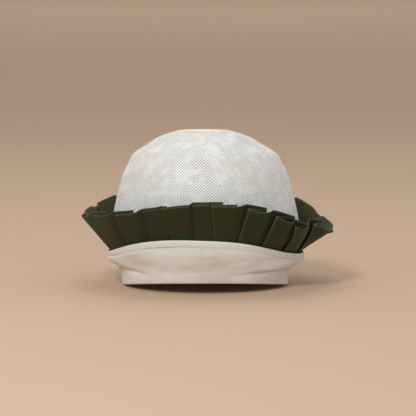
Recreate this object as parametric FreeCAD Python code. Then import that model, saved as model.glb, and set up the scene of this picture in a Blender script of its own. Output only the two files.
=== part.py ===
"""A cook's soft cap, standing on its hem and slightly flattened from front to back.

From the table up: a soft band with a facing and an interlining, a narrow tape over the top of the band, a
pleated frill that stands out from that seam, and a crown of two shaped panels, each with a lining panel.
Every cloth layer is a thin solid of its own, stacked inwards from the outside of the band with small gaps.

Frame: +X to the right of the cap's front, +Y to its back, +Z up. The origin is on the table, under the middle
of the cap. All sizes are in millimetres. Angles run from the right side seam, 0, to the left side seam, pi,
round the front or round the back.
"""

import FreeCAD
import Part

import math
import os

Vector = FreeCAD.Vector

# ---- driving sizes -------------------------------------------------------------------------------------------

# The band, measured on the outside of its cloth
seam_half_width = 107.2
seam_half_depth = 83.5
hem_half_width = 91.8
hem_half_depth = 83.0
band_front_bulge = 2.0

# How much more pointed than an oval the sides are, at the seam
side_pinch = 0.22

# Heights above the table
seam_side_height = 36.5
seam_arch = 22.0
seam_arch_flatness = 3.0
hem_arch = 11.3
foot_sink = 2.0
cap_height = 171.5

# The seam dips where the frill has slumped, at the front right
dip_depth = 7.0
dip_angle_deg = 43.0
dip_spread_deg = 31.0

# The fold in the band at each side ends this share of the way from the seam down to the hem
side_fold_end = 0.62

# The crown's outline seen from the front, upwards from the seam: how far it stands in or out of the width that
# it has at the seam, how high it is above the side seam, or how far below the top
crown_belly_swell = 0.3
crown_belly_rise = 34.0
crown_temple_inset = 10.3
crown_temple_drop = 53.5
crown_corner_inset = 23.5
crown_corner_drop = 27.0
crown_brow_half_width = 50.0
crown_brow_drop = 8.9
crown_top_half_width = 26.5
crown_lean = 2.0

# The crown's depth seen from the side, as shares of its depth at the seam
crown_chest_share = 0.97
crown_chest_rise = 41.5
crown_slope_share = 0.70
crown_slope_drop = 33.5
crown_ridge_share = 0.34
crown_ridge_drop = 8.5

# The frill
frill_width = 51.0
frill_flare_deg = 36.0
frill_lift_deg = 6.0
frill_right_slump_deg = 15.0
frill_right_slump_place_deg = 2.0
frill_right_slump_spread_deg = 26.0
frill_left_slump_deg = 12.0
frill_left_slump_place_deg = 130.0
frill_left_slump_spread_deg = 24.0
# Where the pleats at the right have fallen sideways, they reach less far
frill_right_fall = 0.2
frill_bend_radius = 6.0
frill_top_spread = 2.4

# Cloth thicknesses
band_cloth = 1.2
facing_cloth = 1.0
interlining_cloth = 0.8
crown_cloth = 0.8
lining_cloth = 0.5
frill_stack = 2.8
tape_cloth = 0.7
tape_width = 6.8

# Sewing
layer_gap = 0.3
panel_gap = 0.3
frill_clearance = 0.6
seam_allowance = 9.0
interlining_clearance = 2.0
interlining_hem_clearance = 3.0
facing_hem_lift = 3.0
stitch_length = 2.3
stitch_pitch = 3.2
thread_radius = 0.2
thread_clearance = 0.1
hidden_thread_radius = 0.12
tape_stitch_inset = 1.0
side_seam_stitch_count = 7

# The blank size label inside the back
label_width = 24.0
label_height = 13.0
label_cloth = 0.4
label_drop = 16.0
label_stitch_inset = 1.4

# How finely the curved cloth is sampled
columns = 30
band_rows = 12
crown_rows = 14

# ---- the stack of layers, inwards from the outside of the band's cloth ------------------------------------------

band_in = -band_cloth
frill_out = band_in - layer_gap
frill_in = frill_out - frill_stack
crown_out = frill_in - frill_clearance
crown_in = crown_out - crown_cloth
lining_out = crown_in - layer_gap
lining_in = lining_out - lining_cloth
facing_seam_out = lining_in - layer_gap
interlining_out = band_in - layer_gap
interlining_in = interlining_out - interlining_cloth
facing_hem_out = interlining_in - layer_gap
crown_skin_offset = crown_in - lining_in

FRONT = -1
BACK = 1


def smooth_step(share):
    """0 below 0, 1 above 1, and an even S between them."""
    share = min(1.0, max(0.0, share))
    return share * share * (3 - 2 * share)


def hump(side, angle, centre_deg, spread_deg):
    """A round hump that is 1 at an angle of the front, in degrees, and fades round the cap."""
    away = side * angle + math.radians(centre_deg)
    return math.exp(-((away / math.radians(spread_deg)) ** 2))


def seam_height(side, angle):
    """The height of the seam between band and crown, highest at the front and the back."""
    arch = seam_arch * (1 - abs(math.cos(angle)) ** seam_arch_flatness)
    return seam_side_height + arch - dip_depth * hump(side, angle, dip_angle_deg, dip_spread_deg)


def hem_height(angle):
    """The height of the hem. It dips below the table at the sides, where the feet are cut flat."""
    return -foot_sink + (hem_arch + foot_sink) * math.sin(angle)


def oval_depth(pinch, angle):
    """The depth of an oval with pinched sides, as a share of its half depth."""
    return math.sin(angle) * (1 - pinch * math.cos(angle) ** 2)


def band_shape(share):
    """The band's half width, half depth and pinch at a share of the way from seam to hem."""
    folded = smooth_step(share / side_fold_end)
    half_width = seam_half_width + (hem_half_width - seam_half_width) * folded
    half_depth = seam_half_depth + (hem_half_depth - seam_half_depth) * share
    half_depth += band_front_bulge * math.sin(math.pi * min(1.0, max(0.0, share)))
    return half_width, half_depth, side_pinch * (1 - folded)


def band_outward(side, angle, share):
    """The level direction square to the band's outer cloth."""
    half_width, half_depth, pinch = band_shape(share)
    turn = 1 - pinch * math.cos(angle) ** 2 + 2 * pinch * math.sin(angle) ** 2
    across = half_depth * math.cos(angle) * turn
    return Vector(across, side * half_width * math.sin(angle), 0).normalize()


def band_point(side, angle, share, offset):
    """A point of the band: share is 0 at the seam and 1 at the hem, offset is square to the outer cloth."""
    half_width, half_depth, pinch = band_shape(share)
    depth = panel_gap / 2 + (half_depth - panel_gap / 2) * oval_depth(pinch, angle)
    height = seam_height(side, angle) * (1 - share) + hem_height(angle) * share
    place = Vector(half_width * math.cos(angle), side * depth, height)
    return place + band_outward(side, angle, share) * offset


def drop_share(side, angle, drop):
    """The share of the way down the band at a distance below the seam."""
    return drop / (seam_height(side, angle) - hem_height(angle))


def half_turn():
    """Angles from the right side seam to the left one."""
    return [math.pi * i / columns for i in range(columns + 1)]


def steps(start, end, count):
    """Evenly spaced values from start to end."""
    return [start + (end - start) * i / count for i in range(count + 1)]


# ---- thin solids from two skins ---------------------------------------------------------------------------------


def skin(grid):
    """A smooth face through rows of points."""
    surface = Part.BSplineSurface()
    surface.interpolate(grid)
    return surface


def sheet_solid(first_grid, second_grid):
    """A closed solid between two skins sampled on the same grid."""
    skins = [skin(first_grid), skin(second_grid)]
    faces = [surface.toShape() for surface in skins]
    u_start, u_end, v_start, v_end = skins[0].bounds()
    other_u_start, other_u_end, other_v_start, other_v_end = skins[1].bounds()
    edge_pairs = (
        (skins[0].uIso(u_start), skins[1].uIso(other_u_start)),
        (skins[0].uIso(u_end), skins[1].uIso(other_u_end)),
        (skins[0].vIso(v_start), skins[1].vIso(other_v_start)),
        (skins[0].vIso(v_end), skins[1].vIso(other_v_end)),
    )
    for first, second in edge_pairs:
        faces.append(Part.makeRuledSurface(first.toShape(), second.toShape()))
    shell = Part.makeShell(faces)
    shell.sewShape()
    solid = Part.makeSolid(Part.Shell(shell.Faces))
    if solid.Volume < 0:
        solid.reverse()
    return solid


def strip_solid(first_grid, second_grid):
    """A closed solid between two skins that are smooth along each row and straight from row to row."""
    row_count = len(first_grid[0])
    rows = []
    for grid in (first_grid, second_grid):
        curves = []
        for row in range(row_count):
            curve = Part.BSplineCurve()
            curve.interpolate([points[row] for points in grid])
            curves.append(curve.toShape())
        rows.append(curves)
    faces = []
    for curves in rows:
        faces += [Part.makeRuledSurface(low, high) for low, high in zip(curves[:-1], curves[1:])]
    for end in (0, -1):
        faces.append(Part.makeRuledSurface(rows[0][end], rows[1][end]))
        rungs = [Part.makeLine(low, high) for low, high in zip(first_grid[end], second_grid[end])]
        faces += [Part.makeRuledSurface(low, high) for low, high in zip(rungs[:-1], rungs[1:])]
    shell = Part.makeShell(faces)
    shell.sewShape()
    solid = Part.makeSolid(Part.Shell(shell.Faces))
    if solid.Volume < 0:
        solid.reverse()
    return solid


def stand_on_table(solid):
    """The solid without what would reach below the table, which leaves flat feet."""
    reach = 4 * seam_half_width
    table = Part.makeBox(reach, reach, reach, Vector(-reach / 2, -reach / 2, -reach))
    return solid.cut(table)


# ---- band ---------------------------------------------------------------------------------------------------------


def band_layer(side, offsets_at, start_drop, end_lift):
    """One cloth layer of the band's front or back, from a drop below the seam to a lift above the hem."""
    grids = ([], [])
    for angle in half_turn():
        top = drop_share(side, angle, start_drop)
        bottom = 1 - drop_share(side, angle, end_lift)
        shares = steps(top, bottom, band_rows)
        for which, grid in enumerate(grids):
            row = [band_point(side, angle, share, offsets_at(side, angle, share)[which]) for share in shares]
            grid.append(row)
    return sheet_solid(*grids)


def outer_offsets(side, angle, share):
    return band_in, 0.0


def interlining_offsets(side, angle, share):
    return interlining_in, interlining_out


def facing_offsets(side, angle, share):
    """The facing lies inside every seam allowance at the top and close behind the interlining at the hem."""
    below_seam = drop_share(side, angle, seam_allowance + 1)
    closing = smooth_step((share - below_seam) / (1 - below_seam))
    outer = facing_seam_out + (facing_hem_out - facing_seam_out) * closing
    return outer - facing_cloth, outer


def band_outer(side):
    return stand_on_table(band_layer(side, outer_offsets, 0.0, 0.0))


def band_facing(side):
    return stand_on_table(band_layer(side, facing_offsets, 0.0, facing_hem_lift))


def band_interlining(side):
    start = seam_allowance + interlining_clearance
    layer = band_layer(side, interlining_offsets, start, interlining_hem_clearance)
    return stand_on_table(layer)


def seam_tape(side):
    """The narrow tape along the top of the band, outside it."""
    grids = ([], [])
    for angle in half_turn():
        shares = [drop_share(side, angle, drop) for drop in steps(0.0, tape_width, 3)]
        for offset, grid in zip((layer_gap, layer_gap + tape_cloth), grids):
            grid.append([band_point(side, angle, share, offset) for share in shares])
    return sheet_solid(*grids)


# ---- crown --------------------------------------------------------------------------------------------------------


def smooth_profile(points):
    """Evenly spaced points of the smooth curve through a few outline points."""
    curve = Part.BSplineCurve()
    curve.interpolate(points)
    return curve.discretize(Number=crown_rows + 1)


def crown_levels():
    """For each level of the crown, its half width, side height, half depth and middle height."""
    base_half_width = seam_half_width + lining_in
    base_half_depth = seam_half_depth + lining_in
    seam_middle = seam_side_height + seam_arch
    inside = lining_in - crown_out
    sides = smooth_profile([
        Vector(base_half_width, 0, seam_side_height),
        Vector(base_half_width + crown_belly_swell, 0, seam_side_height + crown_belly_rise),
        Vector(base_half_width - crown_temple_inset, 0, cap_height - crown_temple_drop),
        Vector(base_half_width - crown_corner_inset, 0, cap_height - crown_corner_drop),
        Vector(crown_brow_half_width + inside / 2, 0, cap_height - crown_brow_drop + inside / 2),
        Vector(crown_top_half_width, 0, cap_height + inside),
    ])
    middles = smooth_profile([
        Vector(base_half_depth, 0, seam_middle),
        Vector(crown_chest_share * base_half_depth, 0, seam_middle + crown_chest_rise),
        Vector(crown_slope_share * base_half_depth, 0, cap_height - crown_slope_drop),
        Vector(crown_ridge_share * base_half_depth, 0, cap_height - crown_ridge_drop),
        Vector(0, 0, cap_height + inside),
    ])
    return [(side.x, side.z, middle.x, middle.z) for side, middle in zip(sides, middles)]


def crown_skin_point(levels, side, angle, row):
    """A point of the crown's innermost skin. Its rows close in from the band's plan to a flat seam."""
    half_width, side_height, half_depth, middle_height = levels[row]
    closed = row / crown_rows
    across = half_width * math.cos(angle) - crown_lean * smooth_step(2 * closed - 1)
    depth = half_depth * (oval_depth(side_pinch, angle) * (1 - closed) + math.sin(angle) ** 2 * closed)
    rise = (middle_height - side_height) * (1 - abs(math.cos(angle)) ** seam_arch_flatness)
    dip = dip_depth * hump(side, angle, dip_angle_deg, dip_spread_deg) * (1 - closed) ** 2
    return Vector(across, side * (panel_gap / 2 + depth), side_height + rise - dip)


def crown_point(levels, side, angle, row):
    """The skin point, moved so that the lowest row meets the band's stack of layers exactly."""
    miss = band_point(side, angle, 0.0, lining_in) - crown_skin_point(levels, side, angle, 0)
    return crown_skin_point(levels, side, angle, row) + miss * (1 - row / crown_rows) ** 3


def crown_normal(levels, side, angle, row):
    """The outward direction of the crown's skin, measured just beside the side seams rather than on them."""
    if row == 0:
        return band_outward(side, angle, 0.0)
    nudge = 0.03
    near = min(math.pi - 4 * nudge, max(4 * nudge, angle))
    along = crown_point(levels, side, near + nudge, row) - crown_point(levels, side, near - nudge, row)
    above = crown_point(levels, side, near, min(row + 1, crown_rows))
    below = crown_point(levels, side, near, row - 1)
    normal = along.cross(above - below)
    if normal.dot(Vector(math.cos(angle), side * math.sin(angle), 0.5)) < 0:
        normal = normal * -1
    return normal.normalize()


def crown_grid(side, offset):
    """The crown's skin moved outwards by an offset, starting with the allowance down inside the band."""
    levels = crown_levels()
    grid = []
    for angle in half_turn():
        points = []
        for drop in (seam_allowance, seam_allowance / 2):
            points.append(band_point(side, angle, drop_share(side, angle, drop), lining_in + offset))
        for row in range(crown_rows + 1):
            normal = crown_normal(levels, side, angle, row)
            points.append(crown_point(levels, side, angle, row) + normal * offset)
        grid.append(points)
    return grid


def crown_lining(side):
    return sheet_solid(crown_grid(side, 0.0), crown_grid(side, lining_cloth))


def crown_panel(side):
    return sheet_solid(crown_grid(side, crown_skin_offset), crown_grid(side, crown_skin_offset + crown_cloth))


# ---- frill --------------------------------------------------------------------------------------------------------


def frill_flare(side, angle):
    """How far the frill leans outwards: least at the front and back, most where it has slumped."""
    right = hump(side, angle, frill_right_slump_place_deg, frill_right_slump_spread_deg)
    left = hump(side, angle, frill_left_slump_place_deg, frill_left_slump_spread_deg)
    slump = frill_right_slump_deg * right + frill_left_slump_deg * left
    return math.radians(frill_flare_deg - frill_lift_deg * math.sin(angle) ** 2 + slump)


def frill_reach(side, angle):
    """The frill's width above the seam, less where its pleats have fallen sideways."""
    fallen = hump(side, angle, frill_right_slump_place_deg, frill_right_slump_spread_deg)
    return frill_width * (1 - frill_right_fall * fallen)


def frill_point(side, angle, run, offset):
    """A point of the frill at a run above the seam: it bends outwards on an arc and then goes straight."""
    flare = frill_flare(side, angle)
    turned = min(flare, run / frill_bend_radius)
    straight = run - turned * frill_bend_radius
    out = frill_bend_radius * (1 - math.cos(turned)) + straight * math.sin(turned) + offset * math.cos(turned)
    up = frill_bend_radius * math.sin(turned) + straight * math.cos(turned) - offset * math.sin(turned)
    middle = (frill_in + frill_out) / 2
    root = band_point(side, angle, 0.0, middle)
    return root + band_outward(side, angle, 0.0) * out + Vector(0, 0, up)


def frill(side):
    """The room that the folded and pleated strip takes up, from its seam allowance to its top fold."""
    grids = ([], [])
    for way, grid in zip((-1, 1), grids):
        half_stack = way * frill_stack / 2
        middle = (frill_in + frill_out) / 2
        for angle in half_turn():
            bent = frill_flare(side, angle) * frill_bend_radius
            drops = [seam_allowance, seam_allowance / 2]
            row = [band_point(side, angle, drop_share(side, angle, drop), middle + half_stack) for drop in drops]
            runs = steps(0.0, bent, 3) + [frill_reach(side, angle)]
            for run in runs:
                opened = half_stack + way * frill_top_spread * run / frill_width
                row.append(frill_point(side, angle, run, opened))
            grid.append(row)
    return strip_solid(*grids)


# ---- stitches and label -------------------------------------------------------------------------------------------


def stitch(start, end, radius=thread_radius):
    """One straight stitch of thread."""
    along = end - start
    return Part.makeCylinder(radius, along.Length, start, along)


def stitch_row(path, radius=thread_radius):
    """Even stitches with short gaps along a path of points."""
    wire = Part.makePolygon(path)
    count = round(wire.Length / stitch_pitch)
    marks = wire.discretize(Number=count + 1)
    stitches = []
    for start, after in zip(marks[:-1], marks[1:]):
        along = (after - start).normalize()
        stitches.append(stitch(start, start + along * stitch_length, radius))
    return stitches


def tape_stitches(drop):
    """A row of stitches round the tape, lying on it."""
    offset = layer_gap + tape_cloth + thread_radius + thread_clearance
    stitches = []
    for side in (FRONT, BACK):
        angles = steps(0.0, math.pi, 8 * columns)
        path = [band_point(side, angle, drop_share(side, angle, drop), offset) for angle in angles]
        stitches += stitch_row(path)
    return Part.makeCompound(stitches)


def side_seam_stitches(lie_at):
    """Stitches down the band's side seams, left and right, on the outside or the inside."""
    stitches = []
    for angle in (0.0, math.pi):
        top = drop_share(BACK, angle, tape_width + stitch_pitch)
        bottom = 1 - drop_share(BACK, angle, facing_hem_lift + 2 * foot_sink)
        pitch = (bottom - top) / side_seam_stitch_count
        for share in steps(top, bottom, side_seam_stitch_count)[:-1]:
            lie = lie_at(angle, share)
            start = band_point(BACK, angle, share, lie)
            end = band_point(BACK, angle, share + pitch * stitch_length / stitch_pitch, lie)
            stitches.append(stitch(Vector(start.x, 0, start.z), Vector(end.x, 0, end.z)))
    return Part.makeCompound(stitches)


def outside_lie(angle, share):
    return thread_radius + thread_clearance


def inside_lie(angle, share):
    return facing_offsets(BACK, angle, share)[0] - thread_radius - thread_clearance


def crown_seam_stitches():
    """Hidden stitches between the two crown panels, up one side, over the top and down the other."""
    levels = crown_levels()
    middle = crown_skin_offset + crown_cloth / 2
    edges = ([], [])
    for angle, edge in zip((0.0, math.pi), edges):
        for row in range(crown_rows + 1):
            edge.append(crown_point(levels, BACK, angle, row) + crown_normal(levels, BACK, angle, row) * middle)
    path = edges[0] + edges[1][::-1]
    flat_path = [Vector(point.x, 0, point.z) for point in path]
    return Part.makeCompound(stitch_row(flat_path, hidden_thread_radius))


def label_place():
    """The depth of the label's hidden face, just inside the facing at the back, and the label's top height."""
    middle = math.pi / 2
    edge = middle - label_width / 2 / seam_half_width
    depths = []
    for angle in (edge, middle):
        for drop in steps(label_drop, label_drop + label_height, 4):
            share = drop_share(BACK, angle, drop)
            depths.append(band_point(BACK, angle, share, facing_offsets(BACK, angle, share)[0]).y)
    return min(depths) - layer_gap, seam_height(BACK, middle) - label_drop


def size_label():
    back, top = label_place()
    corner = Vector(-label_width / 2, back - label_cloth, top - label_height)
    return Part.makeBox(label_width, label_cloth, label_height, corner)


def label_stitches():
    """One row of stitches across the label's top edge."""
    back, top = label_place()
    depth = back - label_cloth - thread_radius - thread_clearance
    half_run = label_width / 2 - label_stitch_inset
    ends = [Vector(way * half_run, depth, top - label_stitch_inset) for way in (-1, 1)]
    return Part.makeCompound(stitch_row(ends))


# ---- build --------------------------------------------------------------------------------------------------------

pieces = {
    "size_label": size_label(),
    "size_label_stitches": label_stitches(),
    "crown_seam_stitches": crown_seam_stitches(),
    "seam_tape_upper_stitches": tape_stitches(tape_stitch_inset),
    "seam_tape_lower_stitches": tape_stitches(tape_width - tape_stitch_inset),
    "band_side_seam_stitches": side_seam_stitches(outside_lie),
    "facing_side_seam_stitches": side_seam_stitches(inside_lie),
}
for side, word in ((FRONT, "front"), (BACK, "back")):
    pieces[f"band_{word}"] = band_outer(side)
    pieces[f"band_facing_{word}"] = band_facing(side)
    pieces[f"band_interlining_{word}"] = band_interlining(side)
    pieces[f"seam_tape_{word}"] = seam_tape(side)
    pieces[f"crown_{word}"] = crown_panel(side)
    pieces[f"crown_lining_{word}"] = crown_lining(side)
    pieces[f"frill_{word}"] = frill(side)

os.makedirs("parts", exist_ok=True)
for name, shape in sorted(pieces.items()):
    shape.exportStep(f"parts/{name}.step")
    print(f"{name}: {len(shape.Solids)} solids, {shape.Volume / 1000:.2f} cm3, valid {shape.isValid()}")
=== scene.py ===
# %% [markdown]
# # A frilled cook's cap
# The cap stands on its hem. From the table up it has a soft cream head band, a narrow tape over the
# band's top edge, a dark pleated frill that stands out from that seam, and an off-white crown of two
# panels. All of it is cloth, so every piece here is a thin sheet with its own thickness, laid where the
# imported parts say.

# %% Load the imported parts
import math

import bpy
import numpy as np
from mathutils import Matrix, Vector, noise


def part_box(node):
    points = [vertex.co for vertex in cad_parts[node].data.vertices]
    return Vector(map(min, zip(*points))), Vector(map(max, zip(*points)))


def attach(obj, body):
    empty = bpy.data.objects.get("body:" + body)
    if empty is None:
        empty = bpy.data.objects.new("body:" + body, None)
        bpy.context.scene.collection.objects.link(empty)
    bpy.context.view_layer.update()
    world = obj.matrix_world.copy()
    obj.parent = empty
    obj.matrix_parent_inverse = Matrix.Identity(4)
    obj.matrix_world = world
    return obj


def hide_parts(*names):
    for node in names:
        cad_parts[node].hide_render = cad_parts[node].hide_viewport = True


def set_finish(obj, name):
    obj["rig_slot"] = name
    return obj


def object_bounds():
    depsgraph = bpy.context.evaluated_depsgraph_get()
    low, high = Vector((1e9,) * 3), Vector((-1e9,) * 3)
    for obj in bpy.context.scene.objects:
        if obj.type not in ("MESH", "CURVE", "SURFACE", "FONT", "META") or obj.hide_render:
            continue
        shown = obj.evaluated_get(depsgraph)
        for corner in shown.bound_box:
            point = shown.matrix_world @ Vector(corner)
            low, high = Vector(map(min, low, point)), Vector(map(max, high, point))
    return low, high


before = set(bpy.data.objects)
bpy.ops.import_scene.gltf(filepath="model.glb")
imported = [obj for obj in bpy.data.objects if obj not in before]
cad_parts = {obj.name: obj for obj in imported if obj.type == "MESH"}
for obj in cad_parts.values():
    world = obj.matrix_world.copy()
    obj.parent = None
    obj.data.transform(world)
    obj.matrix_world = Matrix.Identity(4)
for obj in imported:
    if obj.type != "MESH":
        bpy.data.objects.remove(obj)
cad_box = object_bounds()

mm = 0.001
cap_low, cap_high = (Vector(corner) for corner in cad_box)
print("packed box, mm:", [round(x / mm, 1) for x in (*cap_low, *cap_high)])

# %% [markdown]
# ## The sizes that every cloth layer shares
# The layers of the cap lie on each other all the way round, so they are all drawn from one description:
# an oval plan with slightly pointed sides, a seam line that arches up at the front and back, and a hem
# that touches the table only at the two sides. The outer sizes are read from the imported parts, and the
# rest are named here.

# %% Shared sizes
seam_half_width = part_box("band_back")[1].x
seam_half_depth = 83.5 * mm
hem_half_width = 91.8 * mm
hem_half_depth = 83.0 * mm
band_bulge = 2.0 * mm
side_pinch = 0.22
side_fold_end = 0.62

seam_arch = 22.0 * mm
seam_side_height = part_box("band_back")[1].z - seam_arch
seam_arch_flatness = 3.0
hem_arch = 11.3 * mm
foot_sink = 2.0 * mm
dip_depth = 7.0 * mm
dip_place = math.radians(-43)
dip_spread = math.radians(31)
cap_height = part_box("crown_front")[1].z

tape_width = 6.8 * mm
seam_allowance = 9.0 * mm
frill_width = 51.0 * mm
frill_middle = -2.9 * mm
crown_outside = -4.9 * mm
facing_seam_outside = -6.8 * mm
facing_hem_outside = -2.6 * mm

FRONT, BACK = -1, 1
print("seam", round(2 * seam_half_width / mm), "mm wide, cap", round(cap_height / mm), "mm high")

# %% The cap's plan and its two height lines
def smooth_step(share):
    """0 below 0, 1 above 1, and an even S between them."""
    share = np.clip(share, 0, 1)
    return share * share * (3 - 2 * share)


def hump(x, centre, spread):
    """A round hump, 1 high at its centre."""
    return np.exp(-(((x - centre) / spread) ** 2))


def plan_depth(turn, pinch):
    """Depth at a turn, as a share of the half depth. Turns are 0 at the right and negative in front."""
    return np.sin(turn) * (1 - pinch * np.cos(turn) ** 2)


def seam_height(turn):
    arch = seam_arch * (1 - np.abs(np.cos(turn)) ** seam_arch_flatness)
    return seam_side_height + arch - dip_depth * hump(turn, dip_place, dip_spread)


def hem_height(turn):
    """The hem's height: flat on the table at both sides, arched between them."""
    rise = -foot_sink + (hem_arch + foot_sink) * np.abs(np.sin(turn))
    return np.maximum(rise, 0)


def outward(turn, half_width, half_depth, pinch):
    """The level direction square to the plan."""
    across = half_depth * np.cos(turn) * (1 - pinch * np.cos(turn) ** 2 + 2 * pinch * np.sin(turn) ** 2)
    along = half_width * np.sin(turn)
    length = np.hypot(across, along)
    return np.stack([across / length, along / length, np.zeros_like(length)], axis=-1)


def from_side(turn):
    """How far a turn is from the nearer side seam, in radians."""
    return np.arccos(np.clip(np.abs(np.cos(turn)), 0, 1))


# %% A point on the band
def band_shape(share):
    folded = smooth_step(share / side_fold_end)
    half_width = seam_half_width + (hem_half_width - seam_half_width) * folded
    half_depth = seam_half_depth + (hem_half_depth - seam_half_depth) * share
    half_depth = half_depth + band_bulge * np.sin(math.pi * np.clip(share, 0, 1))
    return half_width, half_depth, side_pinch * (1 - folded)


def band_point(turn, share, offset=0.0):
    """The band's outer skin: share runs from 0 at the seam to 1 at the hem, offset is square to the cloth."""
    turn, share = np.broadcast_arrays(np.asarray(turn, float), np.asarray(share, float))
    half_width, half_depth, pinch = band_shape(share)
    x = half_width * np.cos(turn)
    y = half_depth * plan_depth(turn, pinch)
    z = seam_height(turn) * (1 - share) + hem_height(turn) * share
    offset = np.broadcast_to(offset, turn.shape)
    return np.stack([x, y, z], axis=-1) + outward(turn, half_width, half_depth, pinch) * offset[..., None]


def drop_share(turn, drop):
    """The share of the way down the band at a distance below the seam."""
    return drop / (seam_height(turn) - hem_height(turn))


# %% [markdown]
# ## Cloth as a grid
# A cut piece of cloth has two directions, so each piece is a grid of points: rows up the cap and columns
# round it. One function turns such a grid into a mesh. It lays a UV map on it in metres along the cloth,
# so that a weave keeps its real size wherever the cloth goes, and gives the sheet its thickness with
# Solidify.

# %% Measuring and selecting
def lengths_along(grid, axis):
    """How far each grid point is along its row or column, measured on the cloth."""
    steps = np.linalg.norm(np.diff(grid, axis=axis), axis=-1)
    start = np.zeros_like(np.take(steps, [0], axis=axis))
    return np.concatenate([start, np.cumsum(steps, axis=axis)], axis=axis)


def select_only(piece):
    bpy.ops.object.select_all(action="DESELECT")
    piece.select_set(True)
    bpy.context.view_layer.objects.active = piece


def apply_modifiers(piece):
    select_only(piece)
    for modifier in list(piece.modifiers):
        bpy.ops.object.modifier_apply(modifier=modifier.name)


# %% From a grid to a sheet of cloth
def grid_mesh(name, grid, marks=None):
    """A mesh of four-sided faces through a grid, with the cloth's own measure as its UV map."""
    rows, columns = grid.shape[:2]
    index = np.arange(rows * columns).reshape(rows, columns)
    corners = [index[:-1, :-1], index[:-1, 1:], index[1:, 1:], index[1:, :-1]]
    faces = np.stack(corners, axis=-1).reshape(-1, 4)
    mesh = bpy.data.meshes.new(name)
    mesh.from_pydata(grid.reshape(-1, 3).tolist(), [], faces.tolist())
    along = lengths_along(grid, 1)
    along = along - along[:, [columns // 2]]
    measure = np.stack([along, lengths_along(grid, 0)], axis=-1).reshape(-1, 2)
    layer = mesh.uv_layers.new(name="cloth")
    layer.data.foreach_set("uv", measure[faces.reshape(-1)].reshape(-1))
    for mark, values in (marks or {}).items():
        attribute = mesh.attributes.new(mark, "FLOAT", "POINT")
        attribute.data.foreach_set("value", np.asarray(values, np.float32).reshape(-1))
    piece = bpy.data.objects.new(name, mesh)
    bpy.context.scene.collection.objects.link(piece)
    return piece


def cloth(name, grid, thickness, marks=None):
    """A sheet of cloth through a grid of its middle, with its faces pointing out of the cap."""
    piece = grid_mesh(name, grid, marks)
    solid = piece.modifiers.new("thickness", "SOLIDIFY")
    solid.thickness = thickness
    solid.offset = 0
    apply_modifiers(piece)
    for face in piece.data.polygons:
        face.use_smooth = True
    bpy.ops.object.shade_smooth_by_angle(angle=math.radians(50))
    print(name, len(piece.data.polygons), "faces")
    return piece


# %% Where a piece belongs, and two helpers for its grid
sewn_pieces = []


def settle_piece(piece, slot, *nodes):
    """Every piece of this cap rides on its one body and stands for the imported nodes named."""
    sewn_pieces.append(piece)
    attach(piece, "root")
    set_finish(piece, slot)
    if nodes:
        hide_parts(*nodes)


def half_turns(side, count):
    """Turns round the front or the back, always anticlockwise from above, so that faces point outwards."""
    start = -math.pi if side == FRONT else 0.0
    return start + math.pi * np.linspace(0, 1, count + 1)


def soft_noise(points, size, seed=0.0):
    """Slow, smooth random values from about -1 to 1, one for each point."""
    shift = Vector((seed, 2 * seed, -seed))
    flat = points.reshape(-1, 3)
    values = [noise.noise(Vector(point) / size + shift) for point in flat]
    return np.array(values).reshape(points.shape[:-1])


# %% [markdown]
# ## The head band
# The band is a strip of soft brushed cloth. It puffs out just below the tape, and because the cap has
# slumped at its sides, it folds over itself there in a crease like a smile. At the hem the cloth rolls
# under and comes up inside. The roll is part of the same sheet, so the grid's rows simply carry on round
# it.

# %% The band's relief
crease_share = 0.29
left_crease_fall = 0.56
right_crease_fall = 0.40
crease_depth = 4.4 * mm
crease_reach = math.radians(34)
tail_depth = 2.6 * mm
puff_height = 3.6 * mm
slow_wave, slow_size = 1.9 * mm, 27 * mm
quick_wave, quick_size = 0.4 * mm, 9 * mm


def side_crease(turn, share):
    """The fold at each side, which falls towards the middle, and how strong it is at a turn."""
    side_way = from_side(turn)
    right_front = hump(turn, math.radians(-35), math.radians(38))
    strength = np.exp(-((side_way / (crease_reach * (1 + 0.55 * right_front))) ** 2))
    fall = np.where(np.cos(turn) > 0, right_crease_fall, left_crease_fall)
    middle = crease_share + fall * side_way
    above = smooth_step((share - middle + 0.42) / 0.36) * (1 - smooth_step((share - middle + 0.06) / 0.10))
    below = hump(share, middle + 0.04, 0.06)
    crease = crease_depth * strength * (0.9 * above - 0.5 * below)
    tail = tail_depth * strength * smooth_step((share - middle) / 0.08) * (1 - share)
    return crease + tail, strength


def band_relief(turn, share):
    """How far the band's cloth stands out from its plain shape."""
    crease, strength = side_crease(turn, share)
    puff = puff_height * smooth_step((share - 0.14) / 0.07) * (1 - smooth_step((share - 0.22) / 0.55))
    puff = puff * (1 - 0.5 * strength)
    place = band_point(turn, share) * np.array([0.5, 0.5, 1.6])
    wave = slow_wave * soft_noise(place, slow_size, 4.0) + quick_wave * soft_noise(place, quick_size, 9.0)
    calm = smooth_step(share / 0.25) * (1 - 0.6 * smooth_step((share - 0.8) / 0.2))
    return crease + puff + wave * calm


# %% The band's outer cloth, with its rolled hem
band_cloth = 1.2 * mm
hem_roll = 1.7 * mm
hem_turn_up = 7.0 * mm


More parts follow.
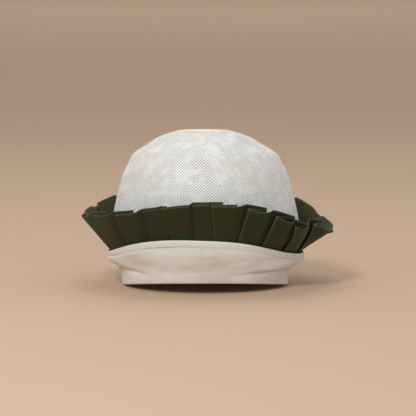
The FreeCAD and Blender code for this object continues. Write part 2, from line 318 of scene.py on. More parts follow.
def hem_path(side_turns):
    """The band's grid: down the outside, round the hem and a little way up inside."""
    rows = []
    roll_share = 2 * hem_roll / (seam_height(side_turns) - hem_height(side_turns))
    for share in np.linspace(0, 1, 61):
        down = share * (1 - roll_share / 2)
        rows.append(band_point(side_turns, down, band_relief(side_turns, down) - band_cloth / 2))
    last = rows[-1]
    sideways = outward(side_turns, hem_half_width, hem_half_depth, 0.0)
    for swing in np.linspace(0, math.pi, 9)[1:]:
        drop = np.array([0, 0, 1.0]) * hem_roll * math.sin(swing)
        rows.append(last - sideways * hem_roll * (1 - math.cos(swing)) - drop * 0.55)
    inner = rows[-1]
    for lift in np.linspace(0, hem_turn_up, 5)[1:]:
        rows.append(inner + np.array([0, 0, lift]) - sideways * 0.1 * lift)
    return np.array(rows)


for side, word in ((FRONT, "front"), (BACK, "back")):
    grid = hem_path(half_turns(side, 150))[::-1]
    band = cloth(f"band_{word}_cloth", grid, band_cloth * 0.92)
    settle_piece(band, "band_jersey", f"band_{word}")

# %% [markdown]
# ## Inside the band
# A facing closes the band on the inside, and a soft interlining between the two gives it body. Both
# follow the band's own description, moved inwards. They show only from below.

# %% Facing and interlining
facing_cloth = 1.0 * mm
interlining_cloth = 0.8 * mm


def facing_offset(turn, share):
    below_seam = drop_share(turn, seam_allowance + 1 * mm)
    closing = smooth_step((share - below_seam) / (1 - below_seam))
    return facing_seam_outside + (facing_hem_outside - facing_seam_outside) * closing


def band_layer(turns, start_drop, end_lift, offset_at, rows):
    top, bottom = drop_share(turns, start_drop), 1 - drop_share(turns, end_lift)
    shares = [top + (bottom - top) * step for step in np.linspace(1, 0, rows + 1)]
    return np.array([band_point(turns, share, offset_at(turns, share)) for share in shares])


def facing_middle(turn, share):
    """The facing's middle, drawn in near the hem to clear the band's roll."""
    drawn_in = 1.4 * mm * smooth_step((share - 0.7) / 0.3)
    return facing_offset(turn, share) - facing_cloth / 2 - drawn_in


def interlining_middle(turn, share):
    return np.full_like(share, -1.9 * mm)


for side, word in ((FRONT, "front"), (BACK, "back")):
    turns = half_turns(side, 96)
    grid = band_layer(turns, 0.0, 4.5 * mm, facing_middle, 24)
    facing = cloth(f"facing_{word}_cloth", grid, facing_cloth * 0.9)
    settle_piece(facing, "facing_jersey", f"band_facing_{word}")
    grid = band_layer(turns, 11 * mm, 9 * mm, interlining_middle, 16)
    padding = cloth(f"interlining_{word}_cloth", grid, interlining_cloth * 0.5)
    settle_piece(padding, "interlining", f"band_interlining_{word}")

# %% [markdown]
# ## The tape
# A narrow tape covers the top of the band where all the layers meet. Its top edge is folded and stands a
# little proud, and the rows of stitching pull it in near both edges.

# %% Tape
tape_cloth = 0.7 * mm


def tape_lie(down):
    """How far the tape stands off the band, across its width."""
    return (0.3 + 1.0 * smooth_step(down / 0.25) - 0.55 * smooth_step((down - 0.3) / 0.7)) * mm


tape_rows = np.linspace(1, 0, 13)
tape_ripple = 0.12 * mm
for side, word in ((FRONT, "front"), (BACK, "back")):
    turns = half_turns(side, 220)
    rows = []
    for down in tape_rows:
        share = drop_share(turns, down * tape_width)
        ripple = tape_ripple * soft_noise(band_point(turns, share), 7 * mm, 3.0) * down
        rows.append(band_point(turns, share, tape_lie(down) + ripple))
    rows = np.array(rows)
    # This mark sets where a painted highlight whitens the tape's folded top edge.
    rim_highlight = np.broadcast_to(hump(tape_rows, 0.08, 0.13)[:, None], rows.shape[:2])
    tape = cloth(f"tape_{word}_strip", rows, tape_cloth * 0.8, {"rim_highlight": rim_highlight})
    settle_piece(tape, "tape", f"seam_tape_{word}")

# %% [markdown]
# ## The crown
# The crown is two panels cut to the same outline and sewn together along it, so seen from the front that
# seam is the silhouette. Each panel starts as the band's plan at the seam and closes to a flat line at
# the top. Its outline is a smooth curve through a few points. Beside the seam the cloth rolls in, and the
# allowance behind it, a centimetre wide, shows through as a faint step.

# %% The crown's outline
crown_cloth = 0.8 * mm
allowance_rows = 4


def smooth_curve(points, count):
    """Evenly spaced points on a Catmull-Rom curve through a few points."""
    points = np.array(points, float)
    padded = np.vstack([2 * points[0] - points[1], points, 2 * points[-1] - points[-2]])
    fine = []
    for p0, p1, p2, p3 in zip(padded[:-3], padded[1:-2], padded[2:-1], padded[3:]):
        for t in np.linspace(0, 1, 40, endpoint=False):
            bend = 2 * p1 + (p2 - p0) * t + (2 * p0 - 5 * p1 + 4 * p2 - p3) * t**2
            fine.append((bend + (3 * p1 - p0 - 3 * p2 + p3) * t**3) / 2)
    fine = np.array(fine + [points[-1]])
    run = np.concatenate([[0], np.cumsum(np.linalg.norm(np.diff(fine, axis=0), axis=1))])
    marks = np.linspace(0, run[-1], count + 1)
    return np.stack([np.interp(marks, run, fine[:, axis]) for axis in range(points.shape[1])], axis=1)


crown_base_width = seam_half_width + crown_outside
crown_base_depth = seam_half_depth + crown_outside
seam_middle = seam_side_height + seam_arch
crown_side_outline = [
    (crown_base_width, seam_side_height),
    (crown_base_width + 0.3 * mm, seam_side_height + 34 * mm),
    (crown_base_width - 10.3 * mm, cap_height - 53.5 * mm),
    (crown_base_width - 16.6 * mm, cap_height - 39.5 * mm),
    (crown_base_width - 23.5 * mm, cap_height - 27.0 * mm),
    (64 * mm, cap_height - 17.6 * mm),
    (50 * mm, cap_height - 8.9 * mm),
    (26.5 * mm, cap_height - 0.4 * mm),
]
crown_middle_outline = [
    (crown_base_depth, seam_middle),
    (0.97 * crown_base_depth, seam_middle + 41.5 * mm),
    (0.70 * crown_base_depth, cap_height - 33.5 * mm),
    (0.34 * crown_base_depth, cap_height - 8.5 * mm),
    (0.0, cap_height),
]
crown_lean = 2.0 * mm
print("crown seam outline has", len(crown_side_outline), "points a side")


# %% A crown panel's grid
def crown_grid(side, rows, columns, inward, relief=True):
    """The crown's cloth, from its allowance inside the band up to the seam over the top."""
    sides = smooth_curve(crown_side_outline, rows)
    middles = smooth_curve(crown_middle_outline, rows)
    turns = half_turns(side, columns)
    foot = band_point(turns, 0.0, crown_outside)
    grid = []
    for row, (edge, middle) in enumerate(zip(sides, middles)):
        closed = row / rows
        x = edge[0] * np.cos(turns) - crown_lean * smooth_step(2 * closed - 1)
        swing = np.abs(np.sin(turns))
        depth = np.abs(plan_depth(turns, side_pinch)) * (1 - closed) + swing**2 * closed
        rise = (middle[1] - edge[1]) * (1 - np.abs(np.cos(turns)) ** seam_arch_flatness)
        dip = dip_depth * hump(turns, dip_place, dip_spread) * (1 - closed) ** 2
        grid.append(np.stack([x, side * middle[0] * depth, edge[1] + rise - dip], axis=-1))
    grid = np.array(grid)
    fade = (1 - np.linspace(0, 1, rows + 1)) ** 3
    grid = grid + (foot - grid[0]) * fade[:, None, None]
    below = [band_point(turns, drop_share(turns, drop), crown_outside)
             for drop in np.linspace(seam_allowance, 0, allowance_rows + 1)[:-1]]
    grid = np.concatenate([np.array(below), grid])
    normals = grid_normals(grid, side)
    shift = np.full(grid.shape[:2], -inward)
    if relief:
        shift = shift + crown_relief(grid, len(below), side)
    grid = grid + normals * shift[..., None]
    grid[..., 1] = side * np.maximum(side * grid[..., 1], 0.25 * mm)
    return grid


def grid_normals(grid, side):
    """The outward direction at each point, steadied along the side seams, where the columns crowd."""
    along = np.gradient(grid, axis=1)
    up = np.gradient(grid, axis=0)
    normals = np.cross(along, up)
    normals = normals / np.maximum(np.linalg.norm(normals, axis=-1, keepdims=True), 1e-12)
    for edge, inner in ((0, 2), (1, 2), (-1, -3), (-2, -3)):
        normals[:, edge] = normals[:, inner]
    for row in (-2, -1):
        normals[row] = normals[-3]
    return normals


# %% The crown's relief, and marks for its finish
allowance_shown = 9 * mm
crown_roll, crown_step = 1.1 * mm, 0.4 * mm
crown_slow_wave, crown_slow_size = 1.7 * mm, 46 * mm
crown_quick_wave, crown_quick_size = 0.55 * mm, 17 * mm


def seam_distances(grid, start):
    """How far each point is from the seam and from the top, and a share that grows above the allowance."""
    along = lengths_along(grid, 1)
    up = lengths_along(grid, 0)
    from_top = up[[-1], :] - up
    to_seam = np.minimum(np.minimum(along, along[:, [-1]] - along), from_top)
    return to_seam, from_top, smooth_step((up - up[[start], :]) / (25 * mm))


def crown_relief(grid, start, side):
    """The crown's soft waves, the roll beside its seam and the step over its allowance."""
    to_seam, _, free = seam_distances(grid, start)
    roll = -crown_roll * np.exp(-((to_seam / (1.6 * mm)) ** 2))
    step = crown_step * (1 - smooth_step((to_seam - allowance_shown) / (2.2 * mm)))
    step = step * smooth_step(to_seam / (2.5 * mm))
    wave = crown_slow_wave * soft_noise(grid, crown_slow_size, 11.0 + side)
    wave = wave + crown_quick_wave * soft_noise(grid, crown_quick_size, 5.0)
    calm = smooth_step(to_seam / (22 * mm))
    return (roll + step + wave * calm) * free


def seam_marks(grid, start):
    """Marks for the crown's painted light: a highlight by the seam, a paler allowance and a shadow at its
    edge.
    """
    to_seam, from_top, shown = seam_distances(grid, start)
    return {"rim_highlight": (1 - smooth_step(to_seam / (3.5 * mm))) * shown,
            "allowance": (1 - smooth_step((to_seam - allowance_shown) / (2 * mm))) * shown,
            "ledge_shadow": hump(from_top, 11.5 * mm, 1.5 * mm) * hump(grid[..., 0], -4 * mm, 26 * mm)}


# %% Crown panels and their linings
for side, word in ((FRONT, "front"), (BACK, "back")):
    grid = crown_grid(side, 96, 128, crown_cloth / 2)
    panel = cloth(f"crown_{word}_panel", grid, crown_cloth, seam_marks(grid, allowance_rows))
    settle_piece(panel, "crown_weave", f"crown_{word}")
    lining = cloth(f"crown_lining_{word}_panel", crown_grid(side, 40, 56, 2.0 * mm), 0.4 * mm)
    settle_piece(lining, "lining", f"crown_lining_{word}")

# %% [markdown]
# ## The frill
# The frill is one long strip, folded double so that its top edge is a fold, pressed into knife pleats and
# sewn into the seam. Every pleat has an outer fold at its left that lies on top, a face that runs right
# and tucks under the next pleat, and an inner fold where it turns back. Where the frill leans out, the
# pleats fan open, and at the right they have slumped open. The strip is followed along its length as a
# path, and lofted up.

# %% Where each pleat is
pleat_count = 20
cloth_gap = 0.9 * mm
first_pleat = -128 * mm
# In millimetres, pleat by pleat from the left of the front. Pleats past a list's end get random values
pleat_shifts = [0.0, 1.7, 4.4, 2.1, 0.0, -8.5, -10.8, -10.0, -6.4, -5.7]
pleat_leans = [10.0, 13.0, 12.0, 3.0, 1.0, -5.0, 0.0, -5.0, -18.0, -19.0, -24.0, -16.0, -8.0]
pleat_laps = [20.0, 20.0, 20.0, 22.0, 24.0, 21.5, 17.0, 20.0, 17.5, 17.0]
pleat_openings = [0.4, 0.3, 0.3, 0.4, 0.9, 1.6, 2.8, 5.0, 6.0, 5.0]
# In degrees, for the few pleats that lie lower or higher than the frill about them
pleat_slumps = {7: 1.0, 8: 4.0, 9: -13.0, 10: 5.0, 11: 3.0}


def seam_measure():
    """Turns round the whole seam and how far along it each is, from the front middle to the right."""
    turns = np.linspace(-math.pi / 2, 1.5 * math.pi, 2401)
    wrapped = (turns + math.pi) % (2 * math.pi) - math.pi
    line = band_point(wrapped, 0.0)
    run = np.concatenate([[0], np.cumsum(np.linalg.norm(np.diff(line[:, :2], axis=0), axis=1))])
    return turns, run


seam_turns, seam_run = seam_measure()
seam_length = seam_run[-1]
pleat_pitch = seam_length / pleat_count
print("seam", round(seam_length / mm), "mm round,", pleat_count, "pleats of",
      round(pleat_pitch / mm, 1), "mm")


def turn_at(run):
    """The turn at a run along the seam, wrapped to one full circle."""
    turns = np.interp(np.mod(run, seam_length), seam_run, seam_turns)
    return (turns + math.pi) % (2 * math.pi) - math.pi


# %% What each pleat is like
def own_or(values, k, otherwise):
    """The value listed for pleat k, or the other one past the list's end."""
    return values[k] if k < len(values) else otherwise


def pleat_facts():
    """For every pleat: where its outer fold is at seam and top, its lap, and how far it opens and slumps."""
    facts = []
    for k in range(pleat_count):
        jitter = noise.noise(Vector((3.7 * k, 1.3, 0.0)))
        shift = own_or(pleat_shifts, k, 2.5 * jitter) * mm
        lean = own_or(pleat_leans, k, -6.0 + 8.0 * jitter) * mm
        lap = own_or(pleat_laps, k, 20.0 + 3.0 * jitter) * mm
        opening = own_or(pleat_openings, k, 2.2 + 1.6 * jitter) * mm
        start = first_pleat + pleat_pitch * k + shift
        slump = math.radians(pleat_slumps.get(k, 0.0))
        facts.append({"seam": start, "top": start + lean, "lap": lap, "opening": opening, "slump": slump})
    after = dict(facts[0])
    after["seam"] += seam_length
    after["top"] += seam_length
    return facts + [after]


# %% [markdown]
# The strip's path is a list of stations. Each has six values: how far along the seam it is at the foot
# and at the top, how far out it lies in the stack of cloth at the foot and at the top, how strongly the
# painted highlight on a fold shows there, and how far its pleat has slumped. A pleat is an outer fold, a
# face, an inner fold and the way back.

# %% The folds of a pleat
seam_lap = 20.0 * mm


def round_fold(swing):
    """How far sideways and how far out the cloth is, part of the way round a fold."""
    return 0.5 * cloth_gap * math.sin(math.pi * swing), cloth_gap * (1 - math.cos(math.pi * swing)) / 2


def fold_mark(pleat):
    """How strongly the painted highlight on a fold shows: faint where the pleat is pressed flat."""
    return min(1.0, 0.15 + pleat["opening"] / (4 * mm))


def back_fold(after):
    """From an inner fold leftwards to the next pleat's outer fold, in the middle of the stack."""
    stations = []
    for step in np.linspace(1, 0, 9):
        lifted = after["opening"] * (1 - step) ** 1.5
        stations.append((after["seam"] + seam_lap * step, after["top"] + after["lap"] * step,
                         cloth_gap, 1.5 * cloth_gap + lifted, 0.0, after["slump"]))
    return stations


def outer_fold(now):
    stations = []
    for swing in (0.25, 0.5, 0.75):
        out, up = round_fold(swing)
        stations.append((now["seam"] - out, now["top"] - 1.4 * out, cloth_gap + up,
                         1.5 * cloth_gap + now["opening"] + 1.4 * up, fold_mark(now), now["slump"]))
    return stations


def inner_fold(after):
    stations = []
    for swing in (0.25, 0.5, 0.75):
        out, up = round_fold(swing)
        stations.append((after["seam"] + seam_lap + out, after["top"] + after["lap"] + 1.4 * out,
                         up, 1.5 * up, 0.6, after["slump"]))
    return stations


# %% The face of a pleat, and the whole strip
def pleat_face(now, after):
    """The cloth in sight, from this pleat's outer fold to its inner fold under the next pleat."""
    stations = []
    seam_free = after["seam"] - now["seam"]
    top_free = after["top"] - now["top"]
    seam_face = seam_free + seam_lap
    top_face = top_free + after["lap"]
    for step in np.linspace(0, 1, 25):
        seam_at, top_at = seam_face * step, top_face * step
        seam_fall = smooth_step((seam_at - seam_lap * 0.9) / (seam_free - seam_lap * 0.9 - 1 * mm))
        top_fall = smooth_step((top_at - now["lap"] * 0.9) / (top_free - now["lap"] * 0.9 - 0.5 * mm))
        across = min(1.0, top_at / top_free)
        belly = 0.3 * now["opening"] * math.sin(math.pi * across) ** 1.5
        lifted = now["opening"] * (1 - smooth_step((across - 0.3) / 0.7))
        slump = now["slump"] + (after["slump"] - now["slump"]) * smooth_step(across)
        top_depth = 2.9 * cloth_gap * (1 - top_fall) + lifted + belly
        fold = math.exp(-((top_at / (1.0 * mm)) ** 2)) * fold_mark(now)
        stations.append((now["seam"] + seam_at, now["top"] + top_at,
                         2 * cloth_gap * (1 - seam_fall), top_depth, fold, slump))
    return stations


def strip_path(facts, first, last):
    """One stretch of the strip, from the way back before its first pleat to its last inner fold."""
    stations = back_fold(facts[first or pleat_count])
    if first == 0:
        stations = [(seam - seam_length, top - seam_length, *rest) for seam, top, *rest in stations]
    for k in range(first, last):
        now, after = facts[k], facts[k + 1]
        stations += outer_fold(now) + pleat_face(now, after) + inner_fold(after)
        if k + 1 < last:
            stations += back_fold(after)
    return np.array(stations)


# %% The strip lofted up from the seam
frill_bend = 6.0 * mm
frill_flare = math.radians(36)
frill_lift = math.radians(4)
frill_inset = 1.05 * mm
right_slump, right_slump_place, right_slump_spread = (math.radians(angle) for angle in (16.5, -18, 36))
left_slump, left_slump_place, left_slump_spread = (math.radians(angle) for angle in (13, -124, 27))
frill_cloth = 0.25 * mm
frill_half_gap = 0.2 * mm
# How far up the frill each row of the strip is, in millimetres. The first three are its allowance
frill_runs = np.array([-9, -6, -3, 0, 1.5, 3, 5, 8, 12, 17, 22, 27, 32, 37, 42, 46, 49, 50.8])


def frill_surface(turn, run, depth, pleat_slump):
    """A point of the frill's room: run is up the frill from the seam, depth is out from its inner face."""
    slump = right_slump * hump(turn, right_slump_place, right_slump_spread)
    slump = slump + left_slump * hump(turn, left_slump_place, left_slump_spread)
    lean = frill_flare - frill_lift * np.sin(turn) ** 2 + slump + pleat_slump
    depth = depth - frill_inset
    turned = np.clip(run / frill_bend, 0, lean)
    straight = np.maximum(run, 0) - turned * frill_bend
    out = frill_bend * (1 - np.cos(turned)) + straight * np.sin(turned) + depth * np.cos(turned)
    up = frill_bend * np.sin(turned) + straight * np.cos(turned) - depth * np.sin(turned)
    below = np.minimum(run, 0)
    root = band_point(turn, drop_share(turn, -below), frill_middle)
    half_width, half_depth, pinch = band_shape(0.0)
    sideways = outward(turn, half_width, half_depth, pinch)
    return root + sideways * out[..., None] + np.array([0, 0, 1.0]) * up[..., None]


def frill_grid(stations):
    """The middle of the double strip: columns along the strip's path, rows up from its allowance."""
    seam, top, depth, top_depth, fold, slump = stations.T
    tucked = 2.4 * mm * np.clip(1 - top_depth / (2 * cloth_gap), 0, 1)
    wander = soft_noise(np.stack([seam, top * 0, top * 0], axis=-1), 40 * mm, 2.0)
    rows = []
    for run in frill_runs:
        up = max(0.0, run * mm / frill_width)
        place = seam + (top - seam) * up**1.1
        out = depth + (top_depth - depth) * up**0.9
        turn = turn_at(place)
        reach = np.sqrt(1 - np.clip(1.05 * (top - seam) / frill_width, -0.8, 0.8) ** 2)
        uneven = (1.2 * mm * wander + tucked) * up
        rows.append(frill_surface(turn, run * mm * (reach if run > 0 else 1) + uneven, out, slump))
    return np.array(rows)


# %% The strip folded double, and its two stretches
def doubled(grid):
    """The strip folded double: up outside its middle, over the top fold and down inside."""
    along = np.gradient(grid, axis=1)
    up = np.gradient(grid, axis=0)
    normals = np.cross(along, up)
    normals = normals / np.maximum(np.linalg.norm(normals, axis=-1, keepdims=True), 1e-12)
    rise = up[-1] / np.linalg.norm(up[-1], axis=-1, keepdims=True)
    outer = list(grid + normals * frill_half_gap)
    inner = list(grid - normals * frill_half_gap)
    top = []
    for swing in (0.25, 0.5, 0.75):
        sideways = normals[-1] * frill_half_gap * math.cos(math.pi * swing)
        top.append(grid[-1] + sideways + rise * frill_half_gap * 1.6 * math.sin(math.pi * swing))
    return np.array(outer + top + inner[::-1])


facts = pleat_facts()
half_count = pleat_count // 2
near_edge = smooth_step((frill_runs - 48.9) / 1.5)
edge_rows = np.concatenate([near_edge, [1, 1, 1], near_edge[::-1]])
for word, first, last in (("front", 0, half_count), ("back", half_count, pleat_count)):
    stations = strip_path(facts, first, last)
    grid = doubled(frill_grid(stations))
    # The fold and edge marks say where the painted highlight falls on the folds and along the top edge.
    fold = np.broadcast_to(stations[:, 4], grid.shape[:2])
    edge = np.broadcast_to(edge_rows[:, None], grid.shape[:2])
    strip = cloth(f"frill_{word}_strip", grid, frill_cloth, {"fold": fold, "edge": edge})
    settle_piece(strip, "frill_cotton", f"frill_{word}")

# %% [markdown]
# ## Finishes
# Each cloth gets its own material. What varies, such as the weave, is worked out from the cloth's own
# measure, kept in its UV map in metres, so a thread keeps its size on every piece. Two small classes keep
# the node work readable: one holds a number that varies and adds Math nodes when it is used in a sum, and
# the other is the material, with one method that makes any node.

# %% A number that varies, and a material that makes its nodes
class Varying:
    """A node's output. Arithmetic on it adds Math nodes."""

    def __init__(self, finish, socket):
        self.finish = finish
        self.socket = socket

    def maths(self, operation, *values):
        return self.finish.node("ShaderNodeMath", {"operation": operation}, dict(enumerate(values)))

    def __add__(self, other):
        return self.maths("ADD", self, other)

    def __sub__(self, other):
        return self.maths("SUBTRACT", self, other)

    def __rsub__(self, other):
        return self.maths("SUBTRACT", other, self)

    def __mul__(self, other):
        return self.maths("MULTIPLY", self, other)

    def __pow__(self, other):
        return self.maths("POWER", self, other)

    def wave(self):
        """An even swing from 0 to 1, once for every turn of 2 pi."""
        return self.maths("SINE", self) * 0.5 + 0.5

    def between(self, low, high):
        """0 at low and below, 1 at high and above."""
        settings = {"clamp": True, "interpolation_type": "SMOOTHSTEP"}
        return self.finish.node("ShaderNodeMapRange", settings, {0: self, 1: low, 2: high})

    __radd__ = __add__
    __rmul__ = __mul__


# %% The material itself
class Finish:
    """One cloth's material."""

    def __init__(self, name):
        self.material = bpy.data.materials.new(name)
        self.material.use_nodes = True
        self.tree = self.material.node_tree
        self.tree.nodes.clear()

    def node(self, kind, settings=None, inputs=None, output=0):
        made = self.tree.nodes.new(kind)
        for setting, value in (settings or {}).items():
            setattr(made, setting, value)
        for socket, value in (inputs or {}).items():
            if isinstance(value, Varying):
                self.tree.links.new(value.socket, made.inputs[socket])
            else:
                made.inputs[socket].default_value = value
        return Varying(self, made.outputs[output])

    def cloth_place(self):
        """Across and up the cloth, in metres."""
        place = self.node("ShaderNodeUVMap", {"uv_map": "cloth"})
        return (self.node("ShaderNodeSeparateXYZ", {}, {0: place}, 0),
                self.node("ShaderNodeSeparateXYZ", {}, {0: place}, 1))

    def object_place(self):
        return self.node("ShaderNodeTexCoord", {}, {}, "Object")

    def mark(self, name):
        return self.node("ShaderNodeAttribute", {"attribute_name": name}, {}, "Fac")

    def cloud(self, size, detail=3.0, roughness=0.55):
        """Soft random patches of about one size, from 0 to 1."""
        inputs = {"Vector": self.object_place(), "Scale": 1 / size, "Detail": detail, "Roughness": roughness}
        return self.node("ShaderNodeTexNoise", {}, inputs, "Fac")

    def blend(self, share, first, second):
        """A colour between two."""
        inputs = {0: share, 6: first, 7: second}
        return self.node("ShaderNodeMix", {"data_type": "RGBA"}, inputs, 2)

    def bump(self, height, distance, strength=1.0):
        return self.node("ShaderNodeBump", {}, {"Height": height, "Distance": distance, "Strength": strength})

    def surface(self, colour, roughness, bump, sheen=0.0, sheen_roughness=0.4, tint=(1, 1, 1, 1)):
        inputs = {"Base Color": colour, "Roughness": roughness, "Normal": bump, "Sheen Weight": sheen,
                  "Sheen Roughness": sheen_roughness, "Sheen Tint": tint, "Specular IOR Level": 0.25}
        shader = self.node("ShaderNodeBsdfPrincipled", {}, inputs)
        self.node_out(shader)
        return self.material

    def node_out(self, shader):
        out = self.tree.nodes.new("ShaderNodeOutputMaterial")
        self.tree.links.new(shader.socket, out.inputs["Surface"])


def dye(red, green, blue):
    """A colour from its everyday 0 to 255 values."""
    values = [level / 255 for level in (red, green, blue)]
    linear = [v / 12.92 if v <= 0.04045 else ((v + 0.055) / 1.055) ** 2.4 for v in values]
    return (*linear, 1.0)


# %% [markdown]
# The crown's cloth is a dobby: its threads float in small raised diamonds, about 2.5 mm from one to the
# next, with a pinhole of shade between them. A product of two waves, one across and one up the cloth,
# makes that checker of hills and pits. Slow patches shift its whiteness a little and close some of its
# pits, as in any natural cloth that has been washed and pressed.

# %% Crown weave
def weave(across, up, pitch):
    """Crossing threads, from 0 between them to 1 on top."""
    turns = 2 * math.pi / pitch
    return (across * turns).wave() * (up * turns).wave()


diamond_pitch = 3.4 * mm
thread_pitch = 0.55 * mm


def crown_weave_finish():
    finish = Finish("crown_weave")
    across, up = finish.cloth_place()
    wander = finish.cloud(14 * mm) * (1.2 * mm)
    turns = 2 * math.pi / diamond_pitch
    hills = ((across + wander) * turns).wave()
    ridges = ((up + wander * 0.6) * turns).wave()
    diamonds = hills * ridges + (1 - hills) * (1 - ridges)
    threads = weave(across, up, thread_pitch)
    slubs = finish.cloud(3.2 * mm, 2.0)
    tone = finish.cloud(38 * mm, 2.0).between(0.3, 0.7)
    faint = finish.cloud(11 * mm, 3.0).between(0.42, 0.68)
    rim_highlight = finish.mark("rim_highlight")
    allowance = finish.mark("allowance")
    ledge_shadow = finish.mark("ledge_shadow")
    raised = diamonds.between(0.22, 0.62)
    raised = raised + (1 - raised) * (faint * 0.42)
    # Painted highlight: the weave is whitened beside the seam, and a little over the allowance, partly for
    # the double cloth there and partly as painted top light.
    raised = raised + (1 - raised) * (rim_highlight * 0.8 + allowance * 0.2)
    white = finish.blend(tone, dye(253, 253, 249), dye(248, 247, 241))
    shade = finish.blend(tone, dye(163, 164, 160), dye(172, 171, 165))
    woven = finish.blend(raised * 0.85 + slubs * 0.15, shade, white)
    # A painted shadow under the step at the allowance's edge, near the top of the crown.
    colour = finish.blend(ledge_shadow * 0.55, woven, dye(192, 178, 154))
    height = raised + threads * 0.25 + slubs * 0.2
    bump = finish.bump(height, 0.5 * mm, 0.8)
    return finish.surface(colour, 0.95 - raised * 0.15, bump, sheen=0.1)


# %% [markdown]
# The frill is a close plain cotton, dyed dark olive and pressed. Along its folds and its doubled top edge
# a painted highlight makes the cloth paler. The fold marks were kept on the mesh when it was made.

# %% Frill cotton
def frill_finish():
    finish = Finish("frill_cotton")
    fold = finish.mark("fold")
    edge = finish.mark("edge")
    threads = weave(*finish.cloth_place(), 0.6 * mm)
    patches = finish.cloud(22 * mm, 3.0).between(0.35, 0.65)
    fine = finish.cloud(2.5 * mm, 3.0)
    olive = finish.blend(patches, dye(49, 66, 41), dye(60, 58, 32))
    grained = finish.blend(fine * 0.5 + threads * 0.3, olive, dye(39, 44, 24))
    # Painted highlight along the folds and the doubled top edge; it also makes the cloth a little less rough
    # there.
    fold_highlight = (fold ** 1.5) * 0.35 + edge * 0.45
    colour = finish.blend(fold_highlight * 0.8, grained, dye(112, 116, 92))
    bump = finish.bump(threads * 0.6 + fine * 0.8, 0.12 * mm, 0.7)
    return finish.surface(colour, 0.82 - fold_highlight * 0.12, bump, sheen=0.12, tint=(0.8, 0.85, 0.7, 1))


# %% [markdown]
# The band is a soft brushed knit. It has a faint rib of its stitches up the cloth, a raised nap that
# scatters light at its edges, and cloudy patches where the nap lies another way. The facing is the same
# knit, unbrushed.

# %% Band and facing knit
def knit_finish(name, light, dark, rib):
    finish = Finish(name)
    across, up = finish.cloth_place()
    ribs = (across * (2 * math.pi / (1.3 * mm))).wave()
    loops = (up * (2 * math.pi / (1.0 * mm)) + ribs * 2.2).wave()
    nap = finish.cloud(1.4 * mm, 4.0, 0.7)
    patches = finish.cloud(26 * mm, 3.0).between(0.3, 0.7)
    brushed = finish.cloud(7 * mm, 3.0)
    colour = finish.blend(patches * 0.45 + brushed * 0.25 + nap * 0.3, light, dark)
    height = ribs * rib + loops * rib + nap * 0.6 + brushed * 0.5
    bump = finish.bump(height, 0.3 * mm, 0.55)
    return finish.surface(colour, 0.9 + nap * 0.08, bump, sheen=0.25, sheen_roughness=0.5,
                          tint=(1, 0.97, 0.94, 1))


# %% Woven tape and linings, sewing thread and the label
def woven_finish(name, light, dark, pitch, relief, slanted=False):
    """A small plain or twilled weave. The twilled one, the tape, gets a painted highlight along its top edge.
    """
    finish = Finish(name)
    across, up = finish.cloth_place()
    if slanted:
        threads = ((across + up) * (2 * math.pi / pitch)).wave()
    else:
        threads = weave(across, up, pitch)
    patches = finish.cloud(12 * mm, 3.0)
    colour = finish.blend(threads * 0.5 + patches * 0.5, dark, light)
    if slanted:
        # A painted highlight along the tape's top edge.
        colour = finish.blend(finish.mark("rim_highlight"), colour, dye(250, 249, 245))
    bump = finish.bump(threads + patches * 0.3, relief, 0.7)
    return finish.surface(colour, 0.88 + patches * 0.08, bump, sheen=0.08)


def thread_finish():
    """Twisted sewing thread, as pale as the band."""
    finish = Finish("thread")
    plies = finish.cloud(0.5 * mm, 2.0)
    colour = finish.blend(plies, dye(205, 196, 182), dye(232, 226, 215))
    bump = finish.bump(plies, 0.05 * mm, 0.6)
    return finish.surface(colour, 0.7 + plies * 0.15, bump, sheen=0.1)


def label_finish():
    """A blank woven label, smoother than the cloth that it is sewn to."""
    finish = Finish("label")
    place = finish.object_place()
    across = finish.node("ShaderNodeSeparateXYZ", {}, {0: place}, 0)
    up = finish.node("ShaderNodeSeparateXYZ", {}, {0: place}, 2)
    threads = weave(across, up, 0.45 * mm)
    patches = finish.cloud(6 * mm)
    colour = finish.blend(threads * 0.5 + patches * 0.5, dye(215, 212, 204), dye(240, 239, 234))
    bump = finish.bump(threads, 0.06 * mm, 0.6)
    return finish.surface(colour, 0.55 + patches * 0.1, bump, sheen=0.1)


# %% One finish for each cloth
finish_for = {
    "crown_weave": crown_weave_finish(),
    "frill_cotton": frill_finish(),
    "band_jersey": knit_finish("band_jersey", dye(232, 229, 224), dye(207, 199, 191), 0.12),
    "facing_jersey": knit_finish("facing_jersey", dye(228, 220, 208), dye(212, 202, 189), 0.4),
    "tape": woven_finish("tape", dye(240, 237, 231), dye(222, 216, 208), 0.8 * mm, 0.12 * mm, slanted=True),
    "lining": woven_finish("lining", dye(236, 233, 224), dye(218, 213, 202), 0.7 * mm, 0.08 * mm),
    "interlining": woven_finish("interlining", dye(238, 237, 231), dye(224, 222, 214), 1.1 * mm, 0.1 * mm),
    "thread": thread_finish(),
    "label": label_finish(),
}


# %% Give every piece, and the imported parts still in view, its finish
def put_finish(thing, finish):
    thing.data.materials.clear()
    thing.data.materials.append(finish)


for piece in sewn_pieces:
    put_finish(piece, finish_for[piece["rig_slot"]])

shown_slots = {
    "crown_seam_stitches": "thread",
    "seam_tape_upper_stitches": "thread",
    "seam_tape_lower_stitches": "thread",
    "band_side_seam_stitches": "thread",
    "facing_side_seam_stitches": "thread",
    "size_label": "label",
    "size_label_stitches": "thread",
}
for node, slot in shown_slots.items():
    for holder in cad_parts[node].material_slots:
        holder.material = finish_for[slot]
print(len(sewn_pieces), "sewn pieces and", len(shown_slots), "packed parts have their finish")

# %% [markdown]
# ## Stage, light and camera
# A plain paper floor and an even sky. A soft main light stands in front, a little to the left. A weak one
# at the right opens its shadows, a broad one hangs overhead, and a wide one far behind lights the floor
# in the distance. The camera looks at the front from slightly above through a long lens.

# %% Floor
def wide_floor():
    """A flat floor so wide that its edge is never in view."""
    places = np.array([-30.0, -6.0, -2.0, 2.0, 6.0, 30.0])
    rows = [[(x, y, 0.0) for x in places] for y in places]
    floor = grid_mesh("floor", np.array(rows))
    return floor


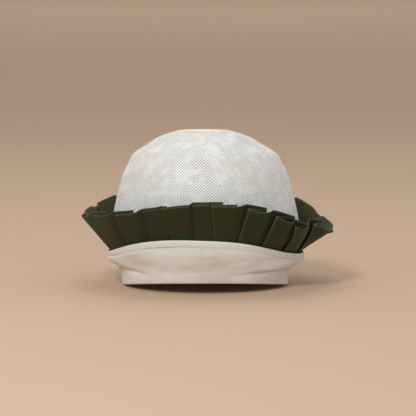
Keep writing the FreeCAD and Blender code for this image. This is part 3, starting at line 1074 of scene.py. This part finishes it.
def paper_finish():
    """Smooth matt studio paper."""
    finish = Finish("paper")
    patches = finish.cloud(0.6, 3.0)
    grain = finish.cloud(2 * mm, 3.0)
    colour = finish.blend(patches, dye(202, 171, 142), dye(206, 176, 147))
    return finish.surface(colour, 0.75 + grain * 0.1, finish.bump(grain, 0.05 * mm, 0.2))


floor = wide_floor()
put_finish(floor, paper_finish())


# %% Camera
def aim(thing, target):
    thing.rotation_euler = (Vector(target) - thing.location).to_track_quat("-Z", "Y").to_euler()


camera_target = Vector((2.75 * mm, 0, 84 * mm))
camera_distance = 2.55
camera_rise = math.radians(6.5)
camera_data = bpy.data.cameras.new("camera")
camera_data.lens = 200
camera_data.sensor_width = 36
camera = bpy.data.objects.new("camera", camera_data)
bpy.context.scene.collection.objects.link(camera)
camera.location = camera_target + camera_distance * Vector((0, -math.cos(camera_rise), math.sin(camera_rise)))
aim(camera, camera_target)
bpy.context.scene.camera = camera
print("camera", camera_distance, "m from the cap, lens", camera_data.lens, "mm")

# %% Lights and sky
daylight = (0.98, 0.99, 1.0)
sky_strength = 0.55


def soft_light(name, place, size, power, colour=daylight, target=(0, 0, 0.08)):
    data = bpy.data.lights.new(name, "AREA")
    data.shape = "DISK"
    data.size = size
    data.energy = power
    data.color = colour
    lamp = bpy.data.objects.new(name, data)
    bpy.context.scene.collection.objects.link(lamp)
    lamp.location = place
    aim(lamp, target)


soft_light("key", (-0.55, -1.3, 1.3), 0.45, 14.5)
soft_light("fill", (1.3, -0.9, 0.9), 0.9, 1.2)
soft_light("far", (0, 10, 5.5), 4.0, 55, (1.0, 0.98, 0.95), target=(0, 12, 0))
soft_light("top", (-0.1, 0.5, 1.6), 1.4, 6.5, target=(0, 0.5, 0))
world = bpy.data.worlds.new("studio")
bpy.context.scene.world = world
world.use_nodes = True
sky = world.node_tree.nodes["Background"]
sky.inputs["Color"].default_value = (*daylight, 1)
sky.inputs["Strength"].default_value = sky_strength
bpy.context.scene.view_settings.view_transform = "Standard"
print("four lights and an even sky")
